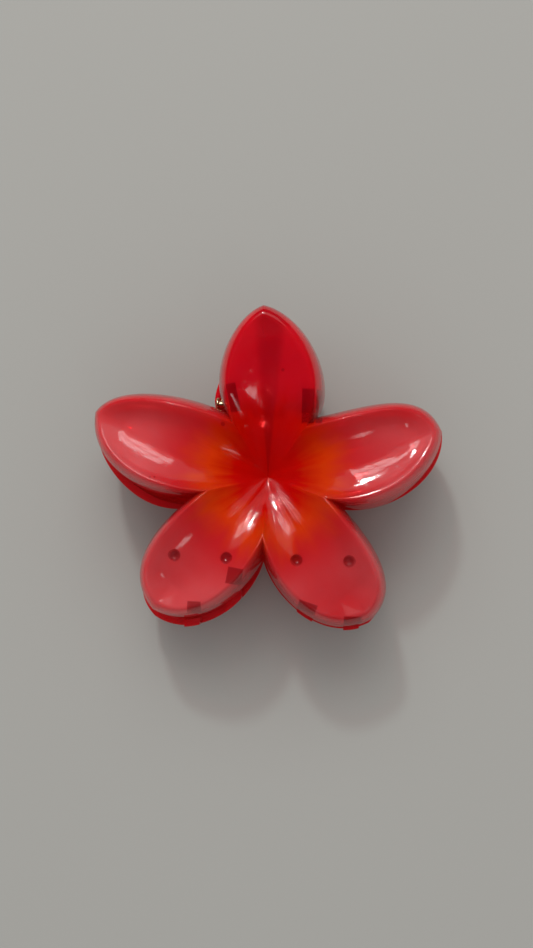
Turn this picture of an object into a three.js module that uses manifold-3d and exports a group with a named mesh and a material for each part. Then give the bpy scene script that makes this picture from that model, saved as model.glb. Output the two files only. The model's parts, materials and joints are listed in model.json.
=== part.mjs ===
// A flower-shaped hair claw clip: two flower mouldings of clear red plastic, face outwards, joined by a headed
// steel pin through their ears and held shut by a torsion spring wound round the pin.
//
// Each moulding is drawn in a jaw frame: the parting plane is z = 0, the flower opens towards +Z, and the hinge
// runs along X at y = hinge.y. The back moulding has the same outline and is turned over about Y. The top petal,
// on +Y, is the finger lever. The finished clip lies on its back flower, on small flats at z = 0, with +Z up.
import * as THREE from "three";
import { mergeVertices } from "three/addons/utils/BufferGeometryUtils.js";
import Module from "manifold-3d";

const wasm = await Module();
wasm.setup();

// ---------------------------------------------------------------------------------------------------------
// Driving dimensions, in millimetres and degrees
// ---------------------------------------------------------------------------------------------------------
const wall = 1.7; // thickness of the mouldings
const looseGap = 0.3; // clearance between pieces that touch or turn on each other

const flower = {
  petals: 5,
  reach: 43.5, // centre to an average petal's tip
  height: 15.5, // parting plane up to an average petal's crest
  notchRadius: 19.4, // centre to the notch between two petals
  crestInset: 3.1, // outline in to the raised crest, seen from above
  crestForkRadius: 14.4, // centre to the point where two petals' crests run together
  spineShare: 0.8, // share of the reach that the dished floor's middle line runs
  centreHeight: 5, // parting plane up to the bottom of the throat
  ridgeHeight: 13.2, // parting plane up to the fork of two crests
};
// One entry a petal, counter-clockwise from the lever. reach: centre to tip, as a share of the flower's; curl:
// degrees that the tip swings counter-clockwise; tipShare: how far out the sides turn in, as a share of the reach.
// ahead and behind are the counter-clockwise and clockwise sides: how far the outline's two control points stand
// off the petal's axis. crest and floor: heights of the crest and of the dish's middle line, at two middle
// stations and the tip, as shares of the flower's.
const lever = { crest: [0.955, 1.174, 1.2], floor: [0.671, 0.929, 1.142] };
const sidePetal = { crest: [1.045, 0.955, 0.697], floor: [0.748, 0.8, 0.658] };
const lowerPetal = { crest: [1.045, 0.994, 0.671], floor: [0.748, 0.826, 0.632] };
const petals = [
  { ...lever, reach: 0.933, curl: 4.2, tipShare: 0.945, ahead: [16.3, 8.8], behind: [16.6, 8.7] },
  { ...sidePetal, reach: 1.057, curl: 0.8, tipShare: 0.956, ahead: [17.3, 11.6], behind: [11.8, 8.2] },
  { ...lowerPetal, reach: 0.992, curl: -1.9, tipShare: 0.951, ahead: [15.0, 11.3], behind: [13.8, 13.4] },
  { ...lowerPetal, reach: 0.985, curl: 3.2, tipShare: 0.97, ahead: [12.8, 13.0], behind: [15.6, 11.6] },
  { ...sidePetal, reach: 1.014, curl: 0.2, tipShare: 0.959, ahead: [10.3, 12.5], behind: [18.2, 8.5] },
];
// Each flower sits a little turned and shifted on its hinge: turn is counter-clockwise degrees, and shift is the
// flower's centre in the jaw frame, both before the back one is turned over.
const seats = {
  front: { turn: -1.5, shift: [0.6, 0.5] },
  back: { turn: -1.2, shift: [0.6, -0.9] },
};
const teeth = {
  centres: [-17, -7, 10.5, 22], // along X, on the back moulding; the front one is notched to take them
  width: 4.3,
  reach: 2.2, // how far either rim passes the parting plane
  start: -15.5, // the jaws are toothed where y is below this
  sideGap: 0.5, // clearance beside a tooth
  tipGap: 0.4, // clearance at a tooth's tip
  thickness: 1.6, // of the blade inside the front moulding's wall
  bladeTop: 7.0, // blade's top above the parting plane
  bladeStart: -22.5, // blades stand where y is below this
  bladeGap: 0.6, // clearance between a blade and the wall it stands in
  rootDepth: 5.0, // how far below the parting plane a blade is rooted
};
const hinge = {
  y: 18.6,
  opening: 48, // degrees from shut to the levers nearly meeting
  leverClearance: 6, // degrees added to the rims' slope so that the levers never meet
  runOut: 1.5, // the rims start to part this far below the hinge line
};
const pin = { radius: 1.0, headRadius: 1.75, headThickness: 0.6, stickOut: 0.4 };
const ear = { radius: 4.0, thickness: 2.2, innerFace: 7.3 };
const spring = {
  wireRadius: 0.45,
  coilRadius: 2.6,
  turns: 6,
  pitch: 1.3,
  legReach: 8.0, // pin axis to the end of a leg, along the lever
  legAngle: 44, // degrees between the legs and the parting plane
};
const grip = {
  columns: [8.5, 20.8], // distance of the inner spikes from the middle plane
  y: -19.4,
  rootRadius: 1.7,
  tipRadius: 0.7,
  tipHeight: 1.0, // spike's tip above the parting plane
  dimpleRadius: 1.6,
  dimpleDepth: 0.9,
};
const standing = { flatDepth: 0.3 }; // material taken off where the clip lies on a surface

// Fineness of the surfaces
const along = 7; // strips from a notch to a petal's tip
const across = 3; // strips from the dish's middle line to the crest, and again down the wall
const round = 12; // sides of a round piece

const radians = THREE.MathUtils.degToRad;
const sector = radians(180 / flower.petals);
const rimSlope = Math.tan(radians(hinge.opening / 2 + hinge.leverClearance));

// ---------------------------------------------------------------------------------------------------------
// The flower's two skins
// ---------------------------------------------------------------------------------------------------------
function bezier(points, t) {
  const [a, b, c, d] = points;
  const s = 1 - t;
  return a * s ** 3 + 3 * b * s * s * t + 3 * c * s * t * t + d * t ** 3;
}

// A petal's contour, moved in from the outline, from the ray it shares with its neighbour to its own tip.
function contour(petal, side, inset, rayRadius, u) {
  const [middle, tip] = side > 0 ? petal.ahead : petal.behind;
  const reach = petal.reach * flower.reach;
  const xs = [
    rayRadius * Math.cos(sector),
    reach * 0.6 - inset * 0.3,
    reach * petal.tipShare - inset,
    reach - inset,
  ];
  const ys = [rayRadius * Math.sin(sector), middle - inset, tip - inset * 0.8, 0];
  return new THREE.Vector2(bezier(xs, u), bezier(ys, u));
}

// The skins differ in their contours and heights only. inset is how far a skin lies inside the outer one.
function skinOf(inset) {
  return {
    rim: inset,
    rimRay: flower.notchRadius - inset * 2.0,
    crest: flower.crestInset + inset * 0.9,
    crestRay: flower.crestForkRadius - inset * 1.4,
    drop: inset * 1.12,
  };
}

// Height of a jaw's rim: toothed jaws reach past the parting plane, and the levers' rims rise to stay apart.
function rimHeight(y) {
  return Math.max(-teeth.reach, looseGap / 2 + (y - hinge.y + hinge.runOut) * rimSlope);
}

// A point of the skin in the jaw frame. u runs from the notch to the tip, and v from the dish's middle line (0)
// over the crest (1) down to the rim (2).
function skinPoint(seat, index, side, u, v, skin) {
  const petal = petals[index];
  const reach = petal.reach * flower.reach;
  const heights = (shares) => shares.map((share) => share * flower.height);
  const crest = contour(petal, side, skin.crest, skin.crestRay, u);
  const rim = contour(petal, side, skin.rim, skin.rimRay, u);
  // The middle line slows to a stop at its end, so that the dish rounds off towards the tip without a crease.
  const spine = new THREE.Vector2(reach * flower.spineShare * u * (1 + u - u * u), 0);
  const forkX = skin.crestRay * Math.cos(sector);
  const share = THREE.MathUtils.clamp((crest.x - forkX) / (reach - skin.crest - forkX), 0, 1);
  const crestHeight = bezier([flower.ridgeHeight, ...heights(petal.crest)], share) - skin.drop;
  const floorAt = (t) => bezier([flower.centreHeight, ...heights(petal.floor)], t) - skin.drop;
  const wallShare = THREE.MathUtils.clamp(v - 1, 0, 1);
  const flat = v <= 1 ? spine.lerp(crest, v) : crest.lerp(rim, Math.sin((wallShare * Math.PI) / 2));

  const swing = (index * 360) / flower.petals + 90 + seat.turn + petal.curl * u;
  const turned = new THREE.Vector2(flat.x, side * flat.y)
    .rotateAround(new THREE.Vector2(), radians(swing))
    .add(new THREE.Vector2(...seat.shift));
  if (v <= 1) {
    // Away from the throat the floor depends only on the distance along the petal.
    const open = Math.min(1, u * 3);
    const under = THREE.MathUtils.clamp(flat.x / (reach * flower.spineShare), 0, 1) ** (1 / 1.15);
    const floor = THREE.MathUtils.lerp(floorAt(u), floorAt(under), open);
    const steepness = THREE.MathUtils.lerp(1.15, 2.1, open);
    return new THREE.Vector3(turned.x, turned.y, floor + (crestHeight - floor) * v ** steepness);
  }
  const low = rimHeight(turned.y);
  const fall = Math.cos((wallShare * Math.PI) / 2) ** 0.85;
  return new THREE.Vector3(turned.x, turned.y, low + (crestHeight - low) * fall);
}

// Every strip of a skin as quads of four points, facing the flower's open side.
function skinQuads(seat, skin) {
  const quads = [];
  for (let index = 0; index < flower.petals; index++) {
    for (const side of [1, -1]) {
      for (let i = 0; i < along; i++) {
        for (let j = 0; j < 2 * across; j++) {
          const corners = [[i, j], [i + 1, j], [i + 1, j + 1], [i, j + 1]].map(([a, b]) =>
            skinPoint(seat, index, side, a / along, b / across, skin),
          );
          quads.push(side > 0 ? corners : corners.reverse());
        }
      }
    }
  }
  return quads;
}

// Strips between two closed lines that each follow the flower's rim, as given by lineAt(index, side, u).
function rimStrips(upper, lower) {
  const quads = [];
  for (let index = 0; index < flower.petals; index++) {
    for (const side of [1, -1]) {
      for (let i = 0; i < along; i++) {
        const [a, b] = [i / along, (i + 1) / along];
        const strip = [upper(index, side, a), upper(index, side, b), lower(index, side, b), lower(index, side, a)];
        quads.push(side > 0 ? strip : strip.reverse());
      }
    }
  }
  return quads;
}

// ---------------------------------------------------------------------------------------------------------
// Solids
// ---------------------------------------------------------------------------------------------------------
function geometryOfQuads(quads) {
  const corners = [];
  for (const [a, b, c, d] of quads) {
    for (const triangle of [[a, b, c], [a, c, d]]) {
      for (const p of triangle) corners.push(p.x, p.y, p.z);
    }
  }
  return new THREE.BufferGeometry().setAttribute(
    "position",
    new THREE.Float32BufferAttribute(corners, 3),
  );
}

function solid(geometry) {
  const bare = geometry.index ? geometry.toNonIndexed() : geometry.clone();
  bare.deleteAttribute("normal");
  bare.deleteAttribute("uv");
  const merged = mergeVertices(bare, 1e-4);
  const kept = [];
  const ids = merged.index.array;
  for (let i = 0; i < ids.length; i += 3) {
    const [a, b, c] = [ids[i], ids[i + 1], ids[i + 2]];
    if (a !== b && b !== c && a !== c) kept.push(a, b, c);
  }
  return new wasm.Manifold(
    new wasm.Mesh({
      numProp: 3,
      vertProperties: new Float32Array(merged.attributes.position.array),
      triVerts: new Uint32Array(kept),
    }),
  );
}

function geometryOfSolid(made) {
  const mesh = made.getMesh();
  return new THREE.BufferGeometry()
    .setAttribute("position", new THREE.BufferAttribute(new Float32Array(mesh.vertProperties), 3))
    .setIndex(new THREE.BufferAttribute(new Uint32Array(mesh.triVerts), 1));
}

function box(low, high) {
  const size = high.map((h, k) => h - low[k]);
  const middle = high.map((h, k) => (h + low[k]) / 2);
  return solid(new THREE.BoxGeometry(...size).translate(...middle));
}

function barAlongX(radius, from, to, y, z) {
  const bar = new THREE.CylinderGeometry(radius, radius, to - from, round);
  return solid(bar.rotateZ(Math.PI / 2).translate((from + to) / 2, y, z));
}

// The space under a skin, down to well below the parting plane.
function underFlower(seat, skin) {
  const floor = -3 * ear.radius;
  const rim = (index, side, u) => skinPoint(seat, index, side, u, 2, skin);
  const foot = (index, side, u) => rim(index, side, u).setZ(floor);
  const centre = () => new THREE.Vector3(...seat.shift, floor);
  return solid(
    geometryOfQuads([...skinQuads(seat, skin), ...rimStrips(rim, foot), ...rimStrips(foot, centre)]),
  );
}

function shell(seat) {
  const [outer, inner] = [skinOf(0), skinOf(wall)];
  const rimOf = (skin) => (index, side, u) => skinPoint(seat, index, side, u, 2, skin);
  const inside = skinQuads(seat, inner).map((quad) => quad.reverse());
  return solid(
    geometryOfQuads([...skinQuads(seat, outer), ...inside, ...rimStrips(rimOf(outer), rimOf(inner))]),
  );
}

// Two ears stand side by side on each side of the hinge. A moulding has its outer ear on -X and its inner one on
// +X, and turned over, the back moulding's ears fall beside the front one's.
const outerEarFace = ear.innerFace + ear.thickness + looseGap + 0.1;
const outerEarEnd = outerEarFace + ear.thickness;

function earSolid(from, to) {
  const outline = new THREE.Shape();
  outline.moveTo(-ear.radius, flower.crestForkRadius);
  outline.lineTo(-ear.radius, 0);
  outline.absarc(0, 0, ear.radius, Math.PI, 2 * Math.PI, false);
  outline.lineTo(ear.radius, flower.crestForkRadius);
  outline.closePath();
  const plate = new THREE.ExtrudeGeometry(outline, {
    depth: to - from,
    bevelEnabled: false,
    curveSegments: round / 2,
  });
  // The drawing's x and y become the jaw's y and z, and the plate's thickness runs along X.
  const place = new THREE.Matrix4().makeBasis(
    new THREE.Vector3(0, 1, 0),
    new THREE.Vector3(0, 0, 1),
    new THREE.Vector3(1, 0, 0),
  );
  return solid(plate.applyMatrix4(place).translate(from, hinge.y, 0));
}

// Where a straight line down from above meets the outer skin at (x, y).
function heightOver(body, x, y) {
  const probe = box([x - 0.05, y - 0.05, -2], [x + 0.05, y + 0.05, 60]);
  return probe.intersect(body).boundingBox().max[2];
}

function spike(x, top) {
  const length = top - grip.tipHeight;
  const cone = new THREE.CylinderGeometry(grip.rootRadius, grip.tipRadius, length, round);
  return solid(cone.rotateX(Math.PI / 2).translate(x, grip.y, grip.tipHeight + length / 2));
}

function dimple(x, top) {
  const ball = new THREE.SphereGeometry(grip.dimpleRadius, round, round / 2);
  return solid(ball.translate(x, grip.y, top + grip.dimpleRadius - grip.dimpleDepth));
}

// The rim's gaps along X, before the back moulding is turned over. The front moulding is notched at each tooth,
// and the back one between its teeth.
function gapsAlongRim(isFront) {
  const half = (teeth.width + teeth.sideGap) / 2;
  if (isFront) return teeth.centres.map((c) => [c - half, c + half]);
  const edge = 2 * flower.notchRadius + teeth.width;
  const ends = [-edge, ...teeth.centres.map((c) => -c).reverse(), edge];
  const inner = (teeth.width - teeth.sideGap) / 2;
  return ends.slice(1).map((c, k) => [ends[k] + inner, c - inner]);
}

const far = 3 * flower.notchRadius; // beyond the flower on every side

function largest(made) {
  return made.decompose().sort((a, b) => b.volume() - a.volume())[0];
}

// The blades that stand on the back moulding's rim, just inside the front moulding's wall, in the clip's frame.
function blades() {
  const clear = wall + teeth.bladeGap;
  const room = underFlower(seats.front, skinOf(clear));
  const core = underFlower(seats.front, skinOf(clear + teeth.thickness));
  const ownSide = underFlower(seats.back, skinOf(0)).rotate([0, 180, 0]);
  const inner = (teeth.width - teeth.sideGap) / 2;
  const low = -teeth.reach - teeth.tipGap;
  return teeth.centres.map((c) => {
    const upper = box([c - inner, -far, low - 1], [c + inner, teeth.bladeStart, teeth.bladeTop]);
    const root = box([c - inner, -far, -teeth.rootDepth], [c + inner, teeth.bladeStart, low]);
    return largest(upper.intersect(room).subtract(core).add(root.intersect(ownSide).subtract(core)));
  });
}

function jawSolid(isFront) {
  const seat = isFront ? seats.front : seats.back;
  const under = underFlower(seat, skinOf(0));
  let jaw = shell(seat);
  jaw = jaw.subtract(box([-far, teeth.start, -2 * teeth.reach], [far, far, looseGap / 2]));
  for (const [from, to] of gapsAlongRim(isFront)) {
    jaw = jaw.subtract(box([from, -far, -2 * teeth.reach], [to, teeth.start + looseGap, teeth.reach + teeth.tipGap]));
  }

  // The wall is cut away where the other moulding's ears come in: its outer ear on one side, its inner on the other.
  const span = (s, from, to) => [s * from, s * to].sort((a, b) => a - b);
  const clear = ear.radius + looseGap + 0.2;
  const windows = [
    span(1, outerEarFace - looseGap, outerEarEnd + 2 * looseGap),
    span(-1, ear.innerFace - looseGap, ear.innerFace + ear.thickness + looseGap),
  ];
  for (const [from, to] of windows) {
    jaw = jaw.subtract(box([from, hinge.y - clear, -2 * ear.radius], [to, hinge.y + clear, clear]));
  }
  const ears = [
    span(-1, outerEarFace, outerEarEnd),
    span(1, ear.innerFace, ear.innerFace + ear.thickness),
  ];
  for (const [from, to] of ears) jaw = jaw.add(earSolid(from, to).intersect(under));

  for (const column of grip.columns) {
    for (const x of [-column, column]) {
      const top = heightOver(under, x, grip.y);
      jaw = jaw.add(spike(x, top).intersect(under));
      jaw = jaw.subtract(dimple(x, top));
    }
  }
  const bore = (pin.radius + looseGap) / Math.cos(Math.PI / round);
  const headSpace = (pin.headRadius + looseGap) / Math.cos(Math.PI / round);
  jaw = jaw.subtract(barAlongX(bore, -far, far, hinge.y, 0));
  jaw = jaw.subtract(barAlongX(headSpace, outerEarEnd, far, hinge.y, 0));
  jaw = jaw.subtract(barAlongX(headSpace, -far, -outerEarEnd, hinge.y, 0));
  if (isFront) return jaw;
  let back = jaw.rotate([0, 180, 0]);
  for (const blade of blades()) back = back.add(blade);
  return back;
}

function pinSolid() {
  const end = outerEarEnd + pin.stickOut;
  const head = barAlongX(pin.headRadius, -end - pin.headThickness, -end, hinge.y, 0);
  return barAlongX(pin.radius, -end - pin.headThickness / 2, end, hinge.y, 0).add(head);
}

// The spring's centreline: a leg along the turned-over lever, the coil round the pin, and a leg along the other
// lever. A leg leaves the coil on a tangent, so the coil starts and ends a quarter turn from its leg.
function springGeometry() {
  const points = [];
  const angle = radians(spring.legAngle);
  const half = (spring.turns * spring.pitch) / 2;
  const stepsPerTurn = 12;
  const legs = [-1, 1].map((s) => {
    const out = new THREE.Vector3(0, Math.cos(angle), s * Math.sin(angle));
    const beside = new THREE.Vector3(0, Math.sin(angle), -s * Math.cos(angle)).multiplyScalar(spring.coilRadius);
    const at = (d) => new THREE.Vector3(s * half, hinge.y, 0).add(beside).addScaledVector(out, d);
    return [at(spring.legReach), at(spring.legReach * 0.66), at(spring.legReach * 0.33)];
  });
  points.push(...legs[0]);
  // Each leg touches the coil on the side that faces the other leg.
  const first = Math.PI / 2 - angle;
  const sweep = 2 * Math.PI * spring.turns - 2 * first;
  const steps = Math.round(spring.turns * stepsPerTurn);
  for (let i = 0; i <= steps; i++) {
    const turn = first + (sweep * i) / steps;
    points.push(
      new THREE.Vector3(
        -half + (2 * half * i) / steps,
        hinge.y + spring.coilRadius * Math.cos(turn),
        spring.coilRadius * Math.sin(turn),
      ),
    );
  }
  points.push(...legs[1].reverse());
  const path = new THREE.CatmullRomCurve3(points);
  const section = new THREE.Shape().absarc(0, 0, spring.wireRadius, 0, 2 * Math.PI, false);
  return new THREE.ExtrudeGeometry(section, {
    steps: steps + 14,
    curveSegments: 3,
    bevelEnabled: false,
    extrudePath: path,
  });
}

// ---------------------------------------------------------------------------------------------------------
// Materials and assembly
// ---------------------------------------------------------------------------------------------------------
const petalPlastic = new THREE.MeshStandardMaterial({ color: 0xc23a44, roughness: 0.12, metalness: 0 });
const pinSteel = new THREE.MeshStandardMaterial({ color: 0xc9b98f, roughness: 0.25, metalness: 1 });
const springSteel = new THREE.MeshStandardMaterial({ color: 0x9a9aa0, roughness: 0.3, metalness: 1 });

const front = jawSolid(true);
const back = jawSolid(false);

// The clip lies on the back flower's lever and its two lower petals: tilt it about X until both are level.
function lowest(geometry, tilt, leverSide) {
  const p = geometry.getAttribute("position");
  let low = Infinity;
  for (let i = 0; i < p.count; i++) {
    if (p.getY(i) > 0 !== leverSide) continue;
    low = Math.min(low, p.getY(i) * Math.sin(tilt) + p.getZ(i) * Math.cos(tilt));
  }
  return low;
}

function standingTilt(geometry) {
  let [low, high] = [0, radians(20)];
  for (let i = 0; i < 40; i++) {
    const tilt = (low + high) / 2;
    if (lowest(geometry, tilt, true) < lowest(geometry, tilt, false)) low = tilt;
    else high = tilt;
  }
  return (low + high) / 2;
}

const backShape = geometryOfSolid(back);
const tilt = standingTilt(backShape);
const base = lowest(backShape, tilt, true) + standing.flatDepth;
const stand = new THREE.Matrix4().makeTranslation(0, 0, -base).multiply(new THREE.Matrix4().makeRotationX(tilt));

const below = box([-far, -far, -far], [far, far, 0]);
const backGeometry = geometryOfSolid(solid(backShape.applyMatrix4(stand)).subtract(below));
const pieces = [
  ["front_flower_jaw", geometryOfSolid(front).applyMatrix4(stand), petalPlastic],
  ["back_flower_jaw", backGeometry, petalPlastic],
  ["hinge_pin", geometryOfSolid(pinSolid()).applyMatrix4(stand), pinSteel],
  ["torsion_spring", springGeometry().applyMatrix4(stand), springSteel],
];

const clip = new THREE.Group();
const whole = new THREE.Box3();
for (const [name, geometry, material] of pieces) {
  const mesh = new THREE.Mesh(geometry, material);
  mesh.name = name;
  clip.add(mesh);
  geometry.computeBoundingBox();
  whole.union(geometry.boundingBox);
}
// The origin is on the surface that the clip lies on, under the middle of its outline.
const middle = whole.getCenter(new THREE.Vector3());
for (const mesh of clip.children) mesh.geometry.translate(-middle.x, -middle.y, 0);

export default clip;
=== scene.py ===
# A flower-shaped hair claw clip: two glossy jelly-red petal mouldings, sprayed orange and deep red at the
# throat, on a warm-plated steel pin with a torsion spring wound round it.
import json
import math
from collections import namedtuple

import bmesh
import bpy
from mathutils import Matrix, Vector
from mathutils.bvhtree import BVHTree


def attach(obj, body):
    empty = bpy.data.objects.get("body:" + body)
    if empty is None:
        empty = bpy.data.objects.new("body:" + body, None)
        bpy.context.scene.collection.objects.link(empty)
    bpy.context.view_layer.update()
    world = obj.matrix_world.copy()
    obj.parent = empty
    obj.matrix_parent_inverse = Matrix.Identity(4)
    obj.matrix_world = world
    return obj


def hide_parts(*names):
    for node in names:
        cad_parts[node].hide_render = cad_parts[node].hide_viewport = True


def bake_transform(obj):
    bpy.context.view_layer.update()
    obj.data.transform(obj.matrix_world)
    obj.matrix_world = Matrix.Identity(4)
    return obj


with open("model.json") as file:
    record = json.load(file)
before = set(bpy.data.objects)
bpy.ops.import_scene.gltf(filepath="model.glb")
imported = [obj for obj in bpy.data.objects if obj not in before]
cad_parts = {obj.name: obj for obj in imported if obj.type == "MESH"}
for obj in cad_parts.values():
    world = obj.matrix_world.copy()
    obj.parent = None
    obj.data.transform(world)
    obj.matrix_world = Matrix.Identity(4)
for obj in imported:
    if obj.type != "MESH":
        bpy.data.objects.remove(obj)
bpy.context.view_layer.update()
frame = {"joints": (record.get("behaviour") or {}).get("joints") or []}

MM = 0.001

# ------------------------------------------------------------------------------------------------------
# Sizes, in millimetres and degrees, in the jaw frame: the parting plane is z = 0, the flower opens towards
# +Z, the levers point to +Y, and the hinge runs along X at y = HINGE_Y. Both halves are the same flower
# moulding, and the back one is turned over about Y
# ------------------------------------------------------------------------------------------------------
WALL = 1.7
IN_WALL = WALL * 0.5  # how deep into the wall what grows from it starts
LOOSE_GAP = 0.3
PETAL_COUNT = 5
REACH = 43.5
HEIGHT = 15.5
NOTCH_RADIUS = 19.4
CREST_INSET = 3.1
CREST_FORK_RADIUS = 14.4
SPINE_SHARE = 0.8
CENTRE_HEIGHT = 5.0
RIDGE_HEIGHT = 13.2

# reach, height stations and tip share are shares; the two control points of each side are millimetres.
Petal = namedtuple("Petal", "reach curl tip_share ahead behind crest floor")
LEVER = {"crest": (0.955, 1.174, 1.2), "floor": (0.671, 0.929, 1.142)}
SIDE_PETAL = {"crest": (1.045, 0.955, 0.697), "floor": (0.748, 0.8, 0.658)}
LOWER_PETAL = {"crest": (1.045, 0.994, 0.671), "floor": (0.748, 0.826, 0.632)}
PETALS = [
    Petal(reach=0.933, curl=4.2, tip_share=0.945, ahead=(16.3, 8.8), behind=(16.6, 8.7), **LEVER),
    Petal(reach=1.057, curl=0.8, tip_share=0.956, ahead=(17.3, 11.6), behind=(11.8, 8.2), **SIDE_PETAL),
    Petal(reach=0.992, curl=-1.9, tip_share=0.951, ahead=(15.0, 11.3), behind=(13.8, 13.4), **LOWER_PETAL),
    Petal(reach=0.985, curl=3.2, tip_share=0.97, ahead=(12.8, 13.0), behind=(15.6, 11.6), **LOWER_PETAL),
    Petal(reach=1.014, curl=0.2, tip_share=0.959, ahead=(10.3, 12.5), behind=(18.2, 8.5), **SIDE_PETAL),
]
Seat = namedtuple("Seat", "turn shift")
FRONT_SEAT = Seat(turn=-1.5, shift=(0.6, 0.5))
BACK_SEAT = Seat(turn=-1.2, shift=(0.6, -0.9))

TOOTH_CENTRES = (-17, -7, 10.5, 22)
TOOTH_WIDTH = 4.3
TOOTH_REACH = 2.2
TOOTH_START = -15.5
TOOTH_SIDE_GAP = 0.5
TOOTH_TIP_GAP = 0.4
BLADE_THICKNESS = 1.6
BLADE_TOP = 7.0
BLADE_START = -22.5
BLADE_GAP = 0.6
BLADE_ROOT = 5.0

HINGE_Y = 18.6
RIM_SLOPE = math.tan(math.radians(30))
RIM_RUN_OUT = 1.5
STANDING_TILT = 3.3766
PIN_RADIUS = 1.0
PIN_HEAD_RADIUS = 1.75
PIN_HEAD_THICKNESS = 0.6
PIN_STICK_OUT = 0.4
EAR_RADIUS = 4.0
EAR_THICKNESS = 2.2
EAR_PLAY = 0.1
WINDOW_PLAY = 0.2
INNER_EAR_FACE = 7.3
OUTER_EAR_FACE = INNER_EAR_FACE + EAR_THICKNESS + LOOSE_GAP + EAR_PLAY
OUTER_EAR_END = OUTER_EAR_FACE + EAR_THICKNESS
WIRE_RADIUS = 0.45
COIL_RADIUS = 2.6
COIL_TURNS = 6
COIL_PITCH = 1.3
LEG_REACH = 8.0
LEG_ANGLE = 44.0

SPIKE_COLUMNS = (8.5, 20.8)
SPIKE_Y = -19.4
SPIKE_ROOT_RADIUS = 1.7
SPIKE_TIP_RADIUS = 0.7
SPIKE_TIP_HEIGHT = 1.0
SPIKE_ROOT_DEPTH = WALL * 0.6
DIMPLE_RADIUS = 1.6
DIMPLE_DEPTH = 0.9

ALONG = 40
ACROSS = 48
FAR = 3 * NOTCH_RADIUS
SECTOR = math.pi / PETAL_COUNT

hinge = frame["joints"][0]
JAW_TO_CLIP = (
    Matrix.Translation(Vector(hinge["pos_m"]))
    @ Matrix.Rotation(math.radians(STANDING_TILT), 4, "X")
    @ Matrix.Translation((0, -HINGE_Y * MM, 0))
    @ Matrix.Scale(MM, 4)
)
TURNED_OVER = Matrix.Rotation(math.pi, 4, "Y")


# ------------------------------------------------------------------------------------------------------
# The flower's skins
# ------------------------------------------------------------------------------------------------------
Skin = namedtuple("Skin", "rim rim_ray crest crest_ray drop")


def skin_at(inset):
    """The skin that lies this far inside the outer one."""
    return Skin(
        rim=inset,
        rim_ray=NOTCH_RADIUS - inset * 2.0,
        crest=CREST_INSET + inset * 0.9,
        crest_ray=CREST_FORK_RADIUS - inset * 1.4,
        drop=inset * 1.12,
    )


def clamp(value, low=0.0, high=1.0):
    return max(low, min(high, value))


def cubic(points, t):
    """A Bezier curve's value at t, from its four control values."""
    a, b, c, d = points
    s = 1 - t
    return a * s**3 + 3 * b * s * s * t + 3 * c * s * t * t + d * t**3


def contour(petal, side, inset, ray_radius, u):
    """A half petal's outline at u, as its distance along the petal and its half width there."""
    middle, tip = petal.ahead if side > 0 else petal.behind
    reach = petal.reach * REACH
    xs = (
        ray_radius * math.cos(SECTOR),
        reach * 0.6 - inset * 0.3,
        reach * petal.tip_share - inset,
        reach - inset,
    )
    ys = (ray_radius * math.sin(SECTOR), middle - inset, tip - inset * 0.8, 0)
    return Vector((cubic(xs, u), cubic(ys, u)))


def rim_height(y):
    """How low the wall goes before it is trimmed: to the teeth's tips, and sloping up under the lever."""
    return max(-TOOTH_REACH, LOOSE_GAP / 2 + (y - HINGE_Y + RIM_RUN_OUT) * RIM_SLOPE)


def crisp_point(seat, index, side, u, v, skin):
    """A point of the skin: u runs from the notch to the tip, v from the dish's middle line (0) over the
    crest (1) down to the rim (2)."""
    petal = PETALS[index]
    reach = petal.reach * REACH
    crest = contour(petal, side, skin.crest, skin.crest_ray, u)
    fork_x = skin.crest_ray * math.cos(SECTOR)
    share = clamp((crest.x - fork_x) / (reach - skin.crest - fork_x))
    crest_height = cubic((RIDGE_HEIGHT, *(s * HEIGHT for s in petal.crest)), share) - skin.drop
    if v <= 1:
        spine = Vector((reach * SPINE_SHARE * u * (1 + u - u * u), 0))
        flat = spine.lerp(crest, v)
    else:
        rim = contour(petal, side, skin.rim, skin.rim_ray, u)
        flat = crest.lerp(rim, math.sin((v - 1) * math.pi / 2))
    swing = math.radians(index * 360 / PETAL_COUNT + 90 + seat.turn + petal.curl * u)
    across = side * flat.y
    x = flat.x * math.cos(swing) - across * math.sin(swing) + seat.shift[0]
    y = flat.x * math.sin(swing) + across * math.cos(swing) + seat.shift[1]
    if v <= 1:
        stations = (CENTRE_HEIGHT, *(s * HEIGHT for s in petal.floor))
        away = min(1, u * 3)
        under = clamp(flat.x / (reach * SPINE_SHARE)) ** (1 / 1.15)
        floor_height = cubic(stations, u) * (1 - away) + cubic(stations, under) * away - skin.drop
        return Vector((x, y, floor_height + (crest_height - floor_height) * v ** (1.15 + 0.95 * away)))
    low = rim_height(y)
    fall = max(0.0, math.cos((v - 1) * math.pi / 2)) ** 0.85
    return Vector((x, y, low + (crest_height - low) * fall))


CREST_ROUNDING = 0.09
CREST_REACH = 0.32
ROUNDING_WEIGHTS = ((-1, 1), (-0.5, 4), (0, 6), (0.5, 4), (1, 1))


def skin_point(seat, index, side, u, v, skin):
    """The same point with the crest rounded over: an average along v that dies out away from the crest."""
    spread = CREST_ROUNDING * max(0.0, 1 - abs(v - 1) / CREST_REACH)
    if spread == 0:
        return crisp_point(seat, index, side, u, v, skin)
    total = Vector((0, 0, 0))
    for offset, weight in ROUNDING_WEIGHTS:
        total += crisp_point(seat, index, side, u, v + offset * spread, skin) * weight
    return total / sum(weight for _, weight in ROUNDING_WEIGHTS)


def station(share):
    """Where a grid row lies on v, with rows crowded towards the crest."""
    centred = 2 * share - 1
    return 1 + math.copysign(abs(centred) ** 1.4, centred)


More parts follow.
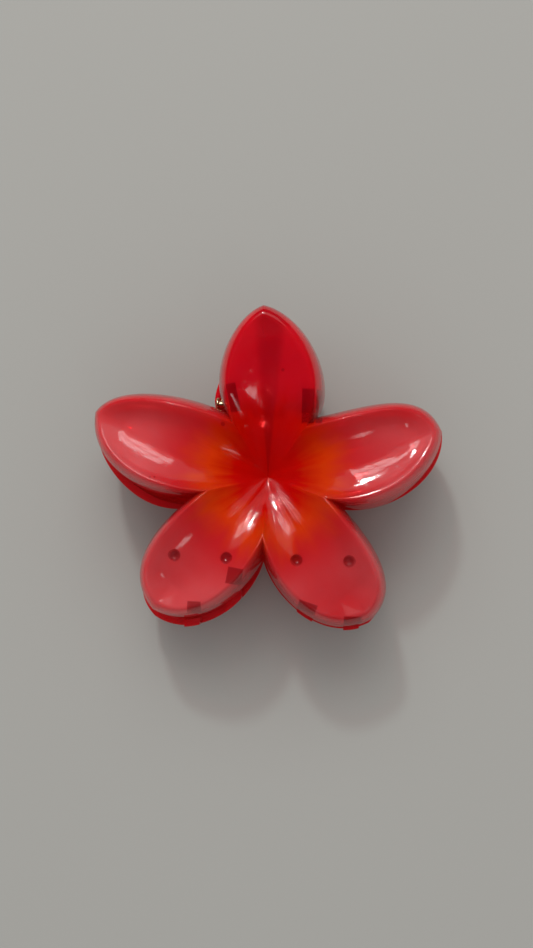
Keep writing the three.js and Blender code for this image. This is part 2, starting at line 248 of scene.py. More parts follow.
def add_skin(bm, seat, skin):
    """All ten half petals of one skin, merged. Returns its vertices."""
    added = []
    for index in range(PETAL_COUNT):
        for side in (1, -1):
            grid = bmesh.ops.create_grid(bm, x_segments=ALONG, y_segments=ACROSS, size=0.5)
            for vert in grid["verts"]:
                u, v = clamp(vert.co.x + 0.5), station(clamp(vert.co.y + 0.5))
                vert.co = skin_point(seat, index, side, u, clamp(v, 0, 2), skin)
            added += grid["verts"]
    bmesh.ops.remove_doubles(bm, verts=added, dist=1e-3)
    return [vert for vert in added if vert.is_valid]


def open_rim(verts):
    """The edges round a skin's open foot."""
    wanted = set(verts)
    edges = {edge for vert in verts for edge in vert.link_edges}
    return [edge for edge in edges if edge.is_boundary and set(edge.verts) <= wanted]


def shell(seat, outer, inner):
    """A closed wall between two skins."""
    bm = bmesh.new()
    outside = add_skin(bm, seat, skin_at(outer))
    inside = add_skin(bm, seat, skin_at(inner))
    bmesh.ops.bridge_loops(bm, edges=open_rim(outside) + open_rim(inside))
    bmesh.ops.recalc_face_normals(bm, faces=bm.faces)
    return bm


def space_under(seat, inset):
    """The solid space under a skin, down to well below the parting plane."""
    bm = bmesh.new()
    rim = open_rim(add_skin(bm, seat, skin_at(inset)))
    skirt = bmesh.ops.extrude_edge_only(bm, edges=rim)["geom"]
    for vert in (item for item in skirt if isinstance(item, bmesh.types.BMVert)):
        vert.co.z = -3 * EAR_RADIUS
    foot = [item for item in skirt if isinstance(item, bmesh.types.BMEdge)]
    bmesh.ops.edgeloop_fill(bm, edges=foot)
    bmesh.ops.recalc_face_normals(bm, faces=bm.faces)
    return bm


# ------------------------------------------------------------------------------------------------------
# Solids and their cuts
# ------------------------------------------------------------------------------------------------------
def block(bm, low, high):
    """Adds the box between two corners."""
    low, high = Vector(low), Vector(high)
    cube = bmesh.ops.create_cube(bm, size=1)["verts"]
    bmesh.ops.scale(bm, verts=cube, vec=high - low)
    bmesh.ops.translate(bm, verts=cube, vec=(low + high) / 2)


def bar_along_x(bm, radius, start, end, sides=48):
    """Adds a round bar on the hinge's line."""
    bar = bmesh.ops.create_cone(
        bm, cap_ends=True, segments=sides, radius1=radius, radius2=radius, depth=end - start
    )["verts"]
    bmesh.ops.rotate(bm, verts=bar, cent=(0, 0, 0), matrix=Matrix.Rotation(math.pi / 2, 3, "Y"))
    bmesh.ops.translate(bm, verts=bar, vec=((start + end) / 2, HINGE_Y, 0))


def loose_object(name, bm):
    mesh = bpy.data.meshes.new(name)
    bm.to_mesh(mesh)
    bm.free()
    made = bpy.data.objects.new(name, mesh)
    bpy.context.scene.collection.objects.link(made)
    return made


def combine(body, tool, operation):
    """Cuts, joins or intersects body with tool and applies it. The tool is used up."""
    modifier = body.modifiers.new(operation, "BOOLEAN")
    modifier.operation = operation
    modifier.solver = "EXACT"
    modifier.object = tool
    graph = bpy.context.evaluated_depsgraph_get()
    result = bpy.data.meshes.new_from_object(body.evaluated_get(graph))
    body.modifiers.clear()
    spent = body.data
    body.data = result
    bpy.data.meshes.remove(spent)
    bpy.data.meshes.remove(tool.data)
    return body


def ear_plate(bm, start, end):
    """A plate that hangs from the petal and ends in a half round about the hinge."""
    disc = bmesh.ops.create_circle(bm, cap_ends=True, segments=64, radius=EAR_RADIUS)["verts"]
    for vert in disc:
        if vert.co.y > 0:
            vert.co.y = CREST_FORK_RADIUS
            vert.co.x = math.copysign(EAR_RADIUS, vert.co.x)
    bmesh.ops.remove_doubles(bm, verts=disc, dist=1e-3)
    disc = [vert for vert in disc if vert.is_valid]
    # The drawing's x and y become the jaw's y and z.
    place = Matrix(((0, 0, 1), (1, 0, 0), (0, 1, 0)))
    bmesh.ops.transform(bm, verts=disc, matrix=place.to_4x4())
    bmesh.ops.translate(bm, verts=disc, vec=(start, HINGE_Y, 0))
    face = disc[0].link_faces[0]
    grown = bmesh.ops.extrude_face_region(bm, geom=[face], use_keep_orig=True)["geom"]
    moved = [item for item in grown if isinstance(item, bmesh.types.BMVert)]
    bmesh.ops.translate(bm, verts=moved, vec=(end - start, 0, 0))
    bmesh.ops.recalc_face_normals(bm, faces=bm.faces)


def ears():
    bm = bmesh.new()
    ear_plate(bm, -OUTER_EAR_END, -OUTER_EAR_FACE)
    ear_plate(bm, INNER_EAR_FACE, INNER_EAR_FACE + EAR_THICKNESS)
    return loose_object("ears", bm)


def surface_height(tree, x, y):
    """The height of the outer skin over a place."""
    return tree.ray_cast(Vector((x, y, 4 * HEIGHT)), Vector((0, 0, -1)))[0].z


def spikes_and_dimples(tree):
    """The spikes that hang under the lower petals, and the dimples over them."""
    spikes, dimples = bmesh.new(), bmesh.new()
    for column in SPIKE_COLUMNS:
        for x in (-column, column):
            top = surface_height(tree, x, SPIKE_Y)
            root = top - SPIKE_ROOT_DEPTH
            spike = bmesh.ops.create_cone(
                spikes,
                cap_ends=True,
                segments=32,
                radius1=SPIKE_TIP_RADIUS,
                radius2=SPIKE_ROOT_RADIUS,
                depth=root - SPIKE_TIP_HEIGHT,
            )["verts"]
            bmesh.ops.translate(spikes, verts=spike, vec=(x, SPIKE_Y, (root + SPIKE_TIP_HEIGHT) / 2))
            ball = bmesh.ops.create_uvsphere(
                dimples, u_segments=40, v_segments=24, radius=DIMPLE_RADIUS
            )["verts"]
            bmesh.ops.translate(
                dimples, verts=ball, vec=(x, SPIKE_Y, top + DIMPLE_RADIUS - DIMPLE_DEPTH)
            )
    return loose_object("spikes", spikes), loose_object("dimples", dimples)


def flat_rim_cut():
    """Trims the rim level everywhere above the teeth."""
    bm = bmesh.new()
    block(bm, (-FAR, TOOTH_START, -2 * TOOTH_REACH), (FAR, FAR, LOOSE_GAP / 2))
    return loose_object("flat_rim_cut", bm)


def tooth_cuts(is_front):
    """Gaps in the lower petals' rim: at each tooth on the front half, between them on the back half."""
    bm = bmesh.new()
    top = TOOTH_REACH + TOOTH_TIP_GAP
    half = (TOOTH_WIDTH + TOOTH_SIDE_GAP) / 2
    inner = (TOOTH_WIDTH - TOOTH_SIDE_GAP) / 2
    if is_front:
        gaps = [(c - half, c + half) for c in TOOTH_CENTRES]
    else:
        edge = 2 * NOTCH_RADIUS + TOOTH_WIDTH
        ends = (-edge, *(-c for c in reversed(TOOTH_CENTRES)), edge)
        gaps = [(a + inner, b - inner) for a, b in zip(ends, ends[1:])]
    for start, end in gaps:
        block(bm, (start, -FAR, -3 * TOOTH_REACH), (end, TOOTH_START + LOOSE_GAP, top))
    return loose_object("tooth_cuts", bm)


def hinge_windows():
    """Room in the wall for the other half's two ears."""
    bm = bmesh.new()
    clear = EAR_RADIUS + LOOSE_GAP + WINDOW_PLAY
    inner_ear_end = INNER_EAR_FACE + EAR_THICKNESS
    outer_room = (OUTER_EAR_FACE - LOOSE_GAP, OUTER_EAR_END + 2 * LOOSE_GAP)
    inner_room = (-inner_ear_end - LOOSE_GAP, LOOSE_GAP - INNER_EAR_FACE)
    for start, end in (outer_room, inner_room):
        block(bm, (start, HINGE_Y - clear, -2 * EAR_RADIUS), (end, HINGE_Y + clear, clear))
    return loose_object("hinge_windows", bm)


def pin_bores():
    bm = bmesh.new()
    head_space = PIN_HEAD_RADIUS + LOOSE_GAP
    bar_along_x(bm, PIN_RADIUS + LOOSE_GAP, -OUTER_EAR_END - 1, OUTER_EAR_END + 1)
    bores = loose_object("bores", bm)
    bm = bmesh.new()
    bar_along_x(bm, head_space, OUTER_EAR_END, FAR)
    bar_along_x(bm, head_space, -FAR, -OUTER_EAR_END)
    return bores, loose_object("head_space", bm)


def blade_blocks(low, high):
    bm = bmesh.new()
    half = (TOOTH_WIDTH - TOOTH_SIDE_GAP) / 2
    for centre in TOOTH_CENTRES:
        block(bm, (centre - half, -FAR, low), (centre + half, BLADE_START, high))
    return loose_object("blade_blocks", bm)


def blades():
    """Blades that stand on the back half just inside the front wall, with their roots in the back wall."""
    clear = WALL + BLADE_GAP
    rim = -TOOTH_REACH - TOOTH_TIP_GAP
    front_room = loose_object("room", space_under(FRONT_SEAT, clear))
    uppers = combine(blade_blocks(rim - 1, BLADE_TOP), front_room, "INTERSECT")
    own_side = loose_object("own_side", space_under(BACK_SEAT, IN_WALL))
    own_side.data.transform(TURNED_OVER)
    roots = combine(blade_blocks(-BLADE_ROOT, rim), own_side, "INTERSECT")
    combine(uppers, roots, "UNION")
    core = loose_object("core", space_under(FRONT_SEAT, clear + BLADE_THICKNESS))
    return combine(uppers, core, "DIFFERENCE")


SHARP_ANGLE = 38


def finish_surface(piece):
    """Merges what the cuts left double, and shades all but the real edges smooth."""
    bm = bmesh.new()
    bm.from_mesh(piece.data)
    bmesh.ops.remove_doubles(bm, verts=bm.verts, dist=2e-3 * MM)
    bmesh.ops.dissolve_degenerate(bm, edges=bm.edges, dist=1e-4 * MM)
    bm.to_mesh(piece.data)
    bm.free()
    piece.data.shade_smooth()
    piece.data.set_sharp_from_angle(angle=math.radians(SHARP_ANGLE))


def jaw(name, is_front):
    """One half of the clip: the flower with its ears, spikes and gaps, and on the back half the blades."""
    seat = FRONT_SEAT if is_front else BACK_SEAT
    wall = shell(seat, 0, WALL)
    tree = BVHTree.FromBMesh(wall)
    piece = loose_object(name, wall)
    combine(piece, flat_rim_cut(), "DIFFERENCE")
    combine(piece, tooth_cuts(is_front), "DIFFERENCE")
    combine(piece, hinge_windows(), "DIFFERENCE")
    room = loose_object("room", space_under(seat, IN_WALL))
    combine(piece, combine(ears(), room, "INTERSECT"), "UNION")
    spikes, dimples = spikes_and_dimples(tree)
    combine(piece, spikes, "UNION")
    combine(piece, dimples, "DIFFERENCE")
    for bores in pin_bores():
        combine(piece, bores, "DIFFERENCE")
    if not is_front:
        piece.data.transform(TURNED_OVER)
        combine(piece, blades(), "UNION")
    piece.data.transform(JAW_TO_CLIP)
    # Where the crests rest they are flat.
    for vert in piece.data.vertices:
        vert.co.z = max(vert.co.z, 0)
    return piece


# ------------------------------------------------------------------------------------------------------
# The pin and the spring
# ------------------------------------------------------------------------------------------------------
PIN_EDGE = 0.18


def steel_bar(name, radius, start, end):
    """A bar on the hinge's line with its two edges rounded over."""
    bm = bmesh.new()
    bar_along_x(bm, radius, start, end, sides=64)
    ends = [edge for edge in bm.edges if abs(edge.verts[0].co.x - edge.verts[1].co.x) < 1e-6]
    bmesh.ops.bevel(
        bm,
        geom=ends,
        offset=PIN_EDGE,
        offset_type="OFFSET",
        segments=4,
        profile=0.5,
        affect="EDGES",
        material=-1,
    )
    return loose_object(name, bm)


def pin():
    """The pin, with a head at one end. The other end is plain."""
    end = OUTER_EAR_END + PIN_STICK_OUT
    piece = steel_bar("pin", PIN_RADIUS, -end - PIN_HEAD_THICKNESS / 2, end)
    head = steel_bar("pin_head", PIN_HEAD_RADIUS, -end - PIN_HEAD_THICKNESS, -end)
    combine(piece, head, "UNION")
    piece.data.transform(JAW_TO_CLIP)
    return piece


def leg_point(side, distance):
    """A point on a leg, that far from where it leaves the coil. The back leg has side -1."""
    angle = math.radians(LEG_ANGLE)
    out = Vector((0, math.cos(angle), side * math.sin(angle)))
    beside = Vector((0, math.sin(angle), -side * math.cos(angle))) * COIL_RADIUS
    return Vector((side * COIL_TURNS * COIL_PITCH / 2, HINGE_Y, 0)) + beside + out * distance


def spring_line(turn_steps):
    """The wire's middle line: the back leg, the coil round the pin and the front leg."""
    half = COIL_TURNS * COIL_PITCH / 2
    first = math.pi / 2 - math.radians(LEG_ANGLE)
    sweep = 2 * math.pi * COIL_TURNS - 2 * first
    leg_steps = 10
    shares = [1 - k / leg_steps for k in range(leg_steps)]
    back_leg = [leg_point(-1, LEG_REACH * share) for share in shares]
    coil = []
    for k in range(turn_steps * COIL_TURNS + 1):
        share = k / (turn_steps * COIL_TURNS)
        turn = first + sweep * share
        across = Vector((0, math.cos(turn), math.sin(turn))) * COIL_RADIUS
        coil.append(Vector((half * (2 * share - 1), HINGE_Y, 0)) + across)
    front_leg = [leg_point(1, LEG_REACH * share) for share in reversed(shares)]
    return back_leg + coil + front_leg


def spring():
    """A round wire along the spring's line: a grid rolled into a tube, with its ends closed."""
    line = spring_line(40)
    sides = 24
    rows = len(line) - 1
    bm = bmesh.new()
    grid = bmesh.ops.create_grid(bm, x_segments=rows, y_segments=sides, size=0.5)["verts"]
    for vert in grid:
        row = round((vert.co.x + 0.5) * rows)
        turn = 2 * math.pi * (vert.co.y + 0.5)
        ahead = (line[min(row + 1, rows)] - line[max(row - 1, 0)]).normalized()
        # Square to the wire, and as near the hinge's line as that allows, so the section never twists.
        level = (Vector((1, 0, 0)) - ahead * ahead.x).normalized()
        rise = ahead.cross(level)
        vert.co = line[row] + (level * math.cos(turn) + rise * math.sin(turn)) * WIRE_RADIUS
    bmesh.ops.remove_doubles(bm, verts=grid, dist=1e-4)
    bmesh.ops.holes_fill(bm, edges=[edge for edge in bm.edges if edge.is_boundary], sides=0)
    bmesh.ops.recalc_face_normals(bm, faces=bm.faces)
    piece = loose_object("spring", bm)
    piece.data.transform(JAW_TO_CLIP)
    return piece


# ------------------------------------------------------------------------------------------------------
# Camera, floor and light
# ------------------------------------------------------------------------------------------------------
# The camera looks down at the front flower, turned from square by these degrees (the last turn comes first)
# and moved right and up by these millimetres.
VIEW_TURNS = ((-1.96, "Z"), (-3.8, "X"), (-2.97, "Y"))
VIEW_SHIFT = Vector((-0.62, 1.14, 0))
VIEW_DISTANCE = 300.0
VIEW_LENS = 45.8


def set_camera():
    data = bpy.data.cameras.new("camera")
    data.lens = VIEW_LENS
    data.sensor_width = 36
    camera = bpy.data.objects.new("camera", data)
    bpy.context.scene.collection.objects.link(camera)
    turn = Matrix.Rotation(math.radians(STANDING_TILT), 3, "X")
    for degrees, axis in reversed(VIEW_TURNS):
        turn = turn @ Matrix.Rotation(math.radians(-degrees), 3, axis)
    middle = JAW_TO_CLIP @ Vector((*FRONT_SEAT.shift, 0))
    place = middle + turn @ (VIEW_SHIFT + Vector((0, 0, VIEW_DISTANCE))) * MM
    camera.matrix_world = Matrix.Translation(place) @ turn.to_4x4()
    bpy.context.scene.camera = camera


def set_floor():
    bm = bmesh.new()
    bmesh.ops.create_grid(bm, x_segments=2, y_segments=2, size=1.5)
    floor = loose_object("floor", bm)
    material = bpy.data.materials.new("floor")
    material.use_nodes = True
    shader = material.node_tree.nodes["Principled BSDF"]
    shader.inputs["Base Color"].default_value = (0.28, 0.272, 0.252, 1)
    shader.inputs["Roughness"].default_value = 0.9
    floor.data.materials.append(material)


def area_light(name, place, aim, size, power, colour=(1, 1, 1)):
    data = bpy.data.lights.new(name, "AREA")
    data.shape = "RECTANGLE"
    data.size, data.size_y = size
    data.energy = power
    data.color = colour
    lamp = bpy.data.objects.new(name, data)
    bpy.context.scene.collection.objects.link(lamp)
    lamp.location = place
    lamp.rotation_euler = (Vector(aim) - Vector(place)).to_track_quat("-Z", "Y").to_euler()
    return lamp


def direction(heading, rise):
    """A unit vector at this angle round from +X and this angle above the floor."""
    heading, rise = math.radians(heading), math.radians(rise)
    return Vector((math.cos(rise) * math.cos(heading), math.cos(rise) * math.sin(heading), math.sin(rise)))


# Lights, in metres and watts.
WINDOW_DISTANCE = 1.5
PANE_WIDTH = 0.12
PANE_HEIGHT = 0.17
PANE_STEP = 1.15
AIM = (0, 0, 0.01)


def set_light():
    """A dim room with soft light. A paned window and its brightest patch are beyond the levers, and a weak
    window is opposite them."""
    world = bpy.data.worlds.new("studio")
    bpy.context.scene.world = world
    world.use_nodes = True
    background = world.node_tree.nodes["Background"]
    background.inputs["Color"].default_value = (0.96, 0.98, 1.0, 1)
    background.inputs["Strength"].default_value = 0.78
    world.cycles_visibility.glossy = False
    key = area_light("soft_key", direction(94, 50) * 2.6, AIM, (2.4, 1.8), 24, (1.0, 0.985, 0.96))
    key.visible_glossy = False
    area_light("pale_wall", direction(92, 50) * 1.8, AIM, (1.7, 1.1), 3.2, (1.0, 0.97, 0.95))
    middle = direction(100, 56) * WINDOW_DISTANCE
    along = Vector((0, 0, 1)).cross(middle).normalized()
    up = middle.cross(along).normalized()
    for column in (-1, 0, 1):
        for row in (-0.5, 0.5):
            shift = along * column * PANE_WIDTH + up * row * PANE_HEIGHT
            place = middle + shift * PANE_STEP
            area_light("window_pane", place, AIM, (PANE_WIDTH, PANE_HEIGHT), 0.3)
    area_light("bright_patch", direction(106, 44) * 1.4, AIM, (0.11, 0.10), 6)
    area_light("far_window", direction(-62, 52) * 1.6, AIM, (0.14, 0.30), 0.4)


# ------------------------------------------------------------------------------------------------------
# Finishes
# ------------------------------------------------------------------------------------------------------
def add_node(tree, kind, **settings):
    made = tree.nodes.new(kind)
    for name, value in settings.items():
        setattr(made, name, value)
    return made


def noise(tree, vector, scale, detail=3.0):
    made = add_node(tree, "ShaderNodeTexNoise")
    made.inputs["Scale"].default_value = scale
    made.inputs["Detail"].default_value = detail
    tree.links.new(vector, made.inputs["Vector"])
    return made.outputs["Fac"]


def arithmetic(tree, operation, *values):
    """A math node of these values, each a number or another node's output."""
    made = add_node(tree, "ShaderNodeMath", operation=operation)
    for socket, value in zip(made.inputs, values):
        if isinstance(value, bpy.types.NodeSocket):
            tree.links.new(value, socket)
        else:
            socket.default_value = value
    return made.outputs["Value"]


def ramp(tree, factor, stops):
    made = add_node(tree, "ShaderNodeValToRGB")
    for k, (at, colour) in enumerate(stops):
        stop = made.color_ramp.elements[k] if k < 2 else made.color_ramp.elements.new(at)
        stop.position = at
        stop.color = colour if len(colour) == 4 else (*colour, 1)
    tree.links.new(factor, made.inputs["Fac"])
    return made.outputs["Color"]


def grey_ramp(tree, factor, stops):
    return ramp(tree, factor, [(at, (value, value, value)) for at, value in stops])


def in_jaw_frame(tree):
    """Where a point is in the jaw frame, in millimetres."""
    place = add_node(tree, "ShaderNodeTexCoord")
    jaw_place = add_node(tree, "ShaderNodeMapping", vector_type="TEXTURE")
    jaw_place.inputs["Location"].default_value = JAW_TO_CLIP.to_translation()
    jaw_place.inputs["Rotation"].default_value = (math.radians(STANDING_TILT), 0, 0)
    jaw_place.inputs["Scale"].default_value = (MM, MM, MM)
    tree.links.new(place.outputs["Object"], jaw_place.inputs["Vector"])
    return jaw_place.outputs["Vector"]


def stretched(tree, vector, scale, turn=0.0):
    made = add_node(tree, "ShaderNodeMapping")
    made.inputs["Scale"].default_value = scale
    made.inputs["Rotation"].default_value = (0, 0, math.radians(turn))
    tree.links.new(vector, made.inputs["Vector"])
    return made.outputs["Vector"]


def bump(tree, height, strength, distance, under=None):
    made = add_node(tree, "ShaderNodeBump")
    made.inputs["Strength"].default_value = strength
    made.inputs["Distance"].default_value = distance
    tree.links.new(height, made.inputs["Height"])
    if under is not None:
        tree.links.new(under, made.inputs["Normal"])
    return made.outputs["Normal"]


# The plastic's colours. The sprayed throat is CORE, then ORANGE, then SPRAY_EDGE.
CORE = (0.60, 0.002, 0.0)
ORANGE = (0.74, 0.055, 0.002)
SPRAY_EDGE = (0.68, 0.05, 0.012)
# Dark red painted over the marks below: painted shade where parts lie behind the wall, in the dimples and
# along the lever's valley, and real dark specks.
SHADE_AND_SPECK_DARK = (0.20, 0.0, 0.003)
CLEAR_TINT = (0.96, 0.28, 0.28)
# The share of the light that doesn't go straight through.
MILKINESS = 0.5
LEVER_MILKINESS = 0.75
# The throat's span, and how far its streaks and blotches push its edge out, in millimetres.
THROAT_SPAN = 40.0
STREAK_PUSH = 11.0
BLOTCH_PUSH = 5.0
# How much of the colour under them each kind of mark covers.
BOX_STRENGTH = 0.72
DISC_STRENGTH = 0.55
VALLEY_SHADE_STRENGTH = 0.45
PATCH_STRENGTH = 0.6

# Painted shade on the front wall where thick plastic lies behind it: the ears, then the back half's teeth.
# Each has a middle, half sizes and a turn, in millimetres and degrees of the jaw frame.
SEEN_THROUGH_SHADE_BOXES = (
    ((-7.9, 18.7), (1.2, 3.4), 12),
    ((10.0, 17.2), (1.5, 4.1), 0),
    ((12.7, 17.2), (0.8, 4.1), 0),
    ((-6.1, -23.7), (1.9, 2.0), -8),
    ((-15.6, -31.6), (1.7, 1.6), 0),
    ((11.2, -30.6), (2.3, 1.4), -18),
    ((22.2, -33.6), (2.2, 1.3), 0),
)
# Painted shade over the dimples, which have the spikes under them, then a dark spot in the lever and real
# dark specks. Each has a middle and a radius.
SHADE_AND_SPECK_DISCS = (
    *(((side * column, SPIKE_Y), DIMPLE_RADIUS) for column in SPIKE_COLUMNS for side in (-1, 1)),
    ((3.8, 25.4), 0.5),
    ((-10.2, 12.4), 0.6),
    ((-27.1, -0.9), 0.3),
    ((-26.0, -0.8), 0.3),
)
# The right-hand lower petal is redder towards its tip: a middle, a radius, and the share of the radius
# within which the patch is full.
DEEP_PATCH = ((19.0, -30.0), 13.0, 0.1)


def fade_in(tree, value, start, end):
    """0 before start and 1 after end, or the other way round if end is less than start."""
    made = add_node(tree, "ShaderNodeMapRange", interpolation_type="SMOOTHSTEP")
    low, high, falling = (start, end, False) if start < end else (end, start, True)
    made.inputs["From Min"].default_value = low
    made.inputs["From Max"].default_value = high
    made.inputs["To Min"].default_value = 1.0 if falling else 0.0
    made.inputs["To Max"].default_value = 0.0 if falling else 1.0
    tree.links.new(value, made.inputs["Value"])
    return made.outputs["Result"]


def mixed(tree, factor, first, second):
    made = add_node(tree, "ShaderNodeMix", data_type="RGBA")
    tree.links.new(factor, made.inputs["Factor"])
    for socket, value in ((made.inputs["A"], first), (made.inputs["B"], second)):
        if isinstance(value, bpy.types.NodeSocket):
            tree.links.new(value, socket)
        else:
            socket.default_value = (*value, 1)
    return made.outputs["Result"]


def in_box(tree, place, middle, half_size, turn):
    """1 inside a box seen from above, and 0 outside it, with soft edges."""
    mapped = add_node(tree, "ShaderNodeMapping", vector_type="TEXTURE")
    mapped.inputs["Location"].default_value = (*middle, 0)
    mapped.inputs["Rotation"].default_value = (0, 0, math.radians(turn))
    mapped.inputs["Scale"].default_value = (*half_size, 1)
    tree.links.new(place, mapped.inputs["Vector"])
    split = add_node(tree, "ShaderNodeSeparateXYZ")
    tree.links.new(mapped.outputs["Vector"], split.inputs["Vector"])
    sides = [arithmetic(tree, "ABSOLUTE", split.outputs[axis]) for axis in "XY"]
    return fade_in(tree, arithmetic(tree, "MAXIMUM", *sides), 1.05, 0.9)


def in_disc(tree, place, middle, size, full_at=0.6):
    """1 within full_at of a disc's radius seen from above, falling to 0 at its edge."""
    mapped = add_node(tree, "ShaderNodeMapping", vector_type="TEXTURE")
    mapped.inputs["Location"].default_value = (*middle, 0)
    mapped.inputs["Scale"].default_value = (size, size, 1)
    tree.links.new(place, mapped.inputs["Vector"])
    level = add_node(tree, "ShaderNodeVectorMath", operation="MULTIPLY")
    level.inputs[1].default_value = (1, 1, 0)
    tree.links.new(mapped.outputs["Vector"], level.inputs[0])
    length = add_node(tree, "ShaderNodeVectorMath", operation="LENGTH")
    tree.links.new(level.outputs["Vector"], length.inputs[0])
    return fade_in(tree, length.outputs["Value"], 1.0, full_at)


# Where a point is, in millimetres: its place in the jaw frame, and seen from above its distance from the
# flower's middle and its heading from there.
Place = namedtuple("Place", "point y radius heading heading_y")


def place_on_flower(tree, centre):
    point = in_jaw_frame(tree)
    flat = add_node(tree, "ShaderNodeVectorMath", operation="MULTIPLY_ADD")
    flat.inputs[1].default_value = (1, 1, 0)
    flat.inputs[2].default_value = (-centre[0], -centre[1], 0)
    tree.links.new(point, flat.inputs[0])
    radius = add_node(tree, "ShaderNodeVectorMath", operation="LENGTH")
    tree.links.new(flat.outputs["Vector"], radius.inputs[0])
    heading = add_node(tree, "ShaderNodeVectorMath", operation="NORMALIZE")
    tree.links.new(flat.outputs["Vector"], heading.inputs[0])
    split_heading = add_node(tree, "ShaderNodeSeparateXYZ")
    tree.links.new(heading.outputs["Vector"], split_heading.inputs["Vector"])
    split_point = add_node(tree, "ShaderNodeSeparateXYZ")
    tree.links.new(point, split_point.inputs["Vector"])
    return Place(
        point=point,
        y=split_point.outputs["Y"],
        radius=radius.outputs["Value"],
        heading=heading.outputs["Vector"],
        heading_y=split_heading.outputs["Y"],
    )


def throat_reach(tree, place):
    """0 at the flower's middle and 1 at the throat's span, with an edge pushed about by streaks and
    blotches."""
    streaks = noise(tree, place.heading, 8.0, 5.0)
    blotches = noise(tree, place.point, 0.25, 3.0)
    pushed = arithmetic(tree, "MULTIPLY_ADD", streaks, STREAK_PUSH, place.radius)
    pushed = arithmetic(tree, "MULTIPLY_ADD", blotches, BLOTCH_PUSH, pushed)
    centred = arithmetic(tree, "SUBTRACT", pushed, (STREAK_PUSH + BLOTCH_PUSH) / 2)
    return arithmetic(tree, "DIVIDE", centred, THROAT_SPAN)


def petal_colour(tree, place, colours):
    """The moulding's colour with the sprayed throat over it, the lever darker as painted shade, and painted
    shade along the lever's middle valley.
    """
    near_colour, tip_colour, shaded_lever_colour = colours
    tips = fade_in(tree, place.radius, 19.0, 33.0)
    petals = mixed(tree, tips, near_colour, tip_colour)
    # The lever goes over to a darker colour: painted shade of the lever, whose dish faces away from the
    # light.
    petals = mixed(tree, fade_in(tree, place.y, 10.0, 20.0), petals, shaded_lever_colour)
    reach = throat_reach(tree, place)
    spray = ramp(tree, reach, [(0.0, CORE), (0.19, CORE), (0.35, ORANGE), (0.50, SPRAY_EDGE)])
    # Towards the lever the core runs on, without the orange.
    spray = mixed(tree, fade_in(tree, place.heading_y, 0.3, 0.95), spray, CORE)
    colour = mixed(tree, fade_in(tree, reach, 0.36, 0.56), spray, petals)
    # Painted shade along the middle valley of the lever.
    valley_shade = arithmetic(tree, "MULTIPLY", fade_in(tree, place.heading_y, 0.992, 1.0), VALLEY_SHADE_STRENGTH)
    colour = mixed(tree, valley_shade, colour, SHADE_AND_SPECK_DARK)
    clouds = grey_ramp(tree, noise(tree, place.point, 0.07, 2.0), [(0.4, 0.0), (0.8, 0.45)])
    colour = mixed(tree, clouds, colour, shaded_lever_colour)
    patch = arithmetic(tree, "MULTIPLY", in_disc(tree, place.point, *DEEP_PATCH), PATCH_STRENGTH)
    return mixed(tree, patch, colour, shaded_lever_colour)


def marked(tree, place, colour, seen_through_shade_boxes, shade_and_speck_discs):
    """The colour with the marks over it: painted shade boxes and discs, and dark specks."""
    for middle, half_size, turn in seen_through_shade_boxes:
        # Painted shade where the ears and the back half's teeth lie behind the wall.
        box = in_box(tree, place.point, middle, half_size, turn)
        colour = mixed(tree, arithmetic(tree, "MULTIPLY", box, BOX_STRENGTH), colour, SHADE_AND_SPECK_DARK)
    for middle, size in shade_and_speck_discs:
        # Painted shade over the dimples, and the dark spot and specks.
        spot = in_disc(tree, place.point, middle, size)
        colour = mixed(tree, arithmetic(tree, "MULTIPLY", spot, DISC_STRENGTH), colour, SHADE_AND_SPECK_DARK)
    return colour


def moulded_surface(tree, place, shader):
    """Smudges, fine scratches, slow ripples, and flow lines that run out from the throat."""
    smudges = noise(tree, place.point, 0.35, 5.0)
    tree.links.new(grey_ramp(tree, smudges, [(0.4, 0.05), (0.8, 0.16)]), shader.inputs["Roughness"])
    scratches = noise(tree, stretched(tree, place.point, (0.5, 7.0, 0.5), 35), 1.0, 6.0)
    ripples = noise(tree, place.point, 0.3, 1.0)
    fine = bump(tree, scratches, 0.06, 0.0001)
    flow_lines = noise(tree, place.heading, 28.0, 3.0)
    near_throat = fade_in(tree, place.radius, 26.0, 8.0)
    fine = bump(tree, arithmetic(tree, "MULTIPLY", flow_lines, near_throat), 0.25, 0.0005, fine)
    tree.links.new(bump(tree, ripples, 0.25, 0.0006, fine), shader.inputs["Normal"])


def petal_plastic(name, centre, colours, seen_through_shade_boxes=(), shade_and_speck_discs=()):
    """Milky tinted plastic that lets some light straight through, sprayed dark red and orange at the
    throat. The colours are the petals' near the throat, at the tips, and the lever's, which is darker as
    painted shade of the lever turned away from the light."""
    material = bpy.data.materials.new(name)
    material.use_nodes = True
    tree = material.node_tree
    link = tree.links.new
    shader = tree.nodes["Principled BSDF"]
    place = place_on_flower(tree, centre)
    colour = petal_colour(tree, place, colours)
    link(marked(tree, place, colour, seen_through_shade_boxes, shade_and_speck_discs), shader.inputs["Base Color"])
    moulded_surface(tree, place, shader)
    shader.inputs["IOR"].default_value = 1.5
    shader.inputs["Coat Weight"].default_value = 1.0
    shader.inputs["Coat Roughness"].default_value = 0.04
    shader.inputs["Coat IOR"].default_value = 1.6
    shader.inputs["Subsurface Weight"].default_value = 0.5
    shader.inputs["Subsurface Radius"].default_value = (1.0, 0.2, 0.16)
    shader.inputs["Subsurface Scale"].default_value = 0.003

    clear = add_node(tree, "ShaderNodeBsdfTransparent")
    clear.inputs["Color"].default_value = (*CLEAR_TINT, 1)
    mix = add_node(tree, "ShaderNodeMixShader")
    on_lever = fade_in(tree, place.y, 14.0, 24.0)
    milkiness = arithmetic(tree, "MULTIPLY_ADD", on_lever, LEVER_MILKINESS - MILKINESS, MILKINESS)
    link(milkiness, mix.inputs["Fac"])
    link(clear.outputs["BSDF"], mix.inputs[1])
    link(shader.outputs["BSDF"], mix.inputs[2])
    link(mix.outputs["Shader"], tree.nodes["Material Output"].inputs["Surface"])
    return material


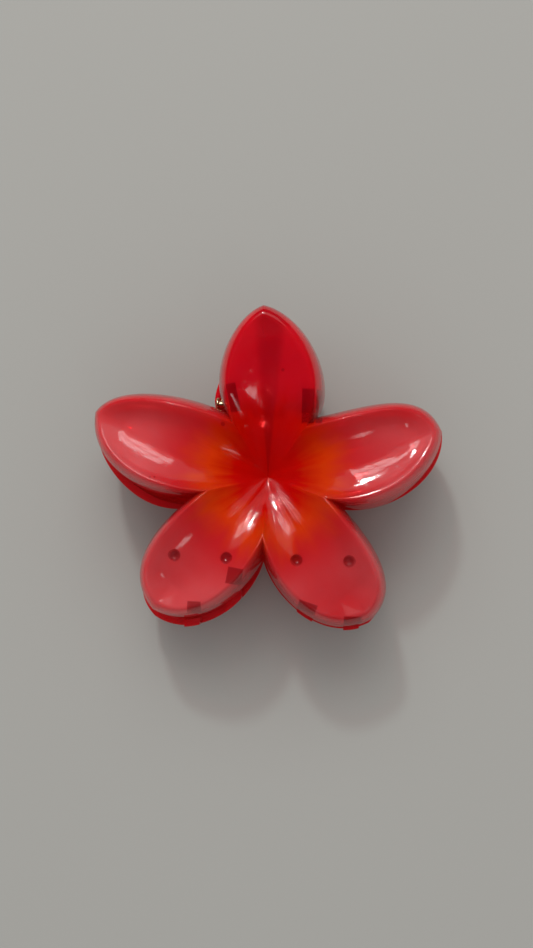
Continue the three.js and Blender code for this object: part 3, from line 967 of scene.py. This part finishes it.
def steel(name, colour, dull_colour):
    """Drawn steel: fine lines round the hinge's axis, duller patches and small scratches."""
    material = bpy.data.materials.new(name)
    material.use_nodes = True
    tree = material.node_tree
    link = tree.links.new
    shader = tree.nodes["Principled BSDF"]
    place = in_jaw_frame(tree)
    patches = noise(tree, place, 0.9, 4.0)
    link(ramp(tree, patches, [(0.35, colour), (0.8, dull_colour)]), shader.inputs["Base Color"])
    link(grey_ramp(tree, patches, [(0.3, 0.16), (0.8, 0.42)]), shader.inputs["Roughness"])
    lines = noise(tree, stretched(tree, place, (9.0, 0.6, 0.6)), 1.0, 4.0)
    link(bump(tree, lines, 0.15, 0.00005), shader.inputs["Normal"])
    shader.inputs["Metallic"].default_value = 1
    return material


# ------------------------------------------------------------------------------------------------------
# The clip
# ------------------------------------------------------------------------------------------------------
def place_piece(piece, node, material):
    """Finishes a piece, gives it its material, and hides the CAD part of the node it stands in for."""
    finish_surface(piece)
    piece.data.materials.clear()
    piece.data.materials.append(material)
    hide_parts(node)


set_camera()
set_floor()
set_light()

# Each set is near the throat, at the tips, and the lever's; the lever's is darker as painted shade.
front_colours = ((0.63, 0.022, 0.028), (0.72, 0.105, 0.115), (0.54, 0.004, 0.012))
back_colours = ((0.66, 0.005, 0.012), (0.68, 0.008, 0.016), (0.56, 0.003, 0.010))
front_plastic = petal_plastic("front_plastic", FRONT_SEAT.shift, front_colours, SEEN_THROUGH_SHADE_BOXES, SHADE_AND_SPECK_DISCS)
back_centre = TURNED_OVER @ Vector((*BACK_SEAT.shift, 0))
back_plastic = petal_plastic("back_plastic", back_centre, back_colours)

front_petals = jaw("front_petals", True)
place_piece(front_petals, "front_flower_jaw", front_plastic)
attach(front_petals, "front_half")

back_petals = jaw("back_petals", False)
place_piece(back_petals, "back_flower_jaw", back_plastic)
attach(back_petals, "back_half")

pin_piece = pin()
plating = steel("plated_steel", (0.78, 0.60, 0.33), (0.45, 0.33, 0.19))
place_piece(pin_piece, "hinge_pin", plating)
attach(pin_piece, "back_half")

spring_piece = spring()
wire = steel("drawn_wire", (0.62, 0.62, 0.64), (0.34, 0.33, 0.33))
place_piece(spring_piece, "torsion_spring", wire)
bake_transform(spring_piece)

bpy.context.scene.view_settings.view_transform = "Standard"
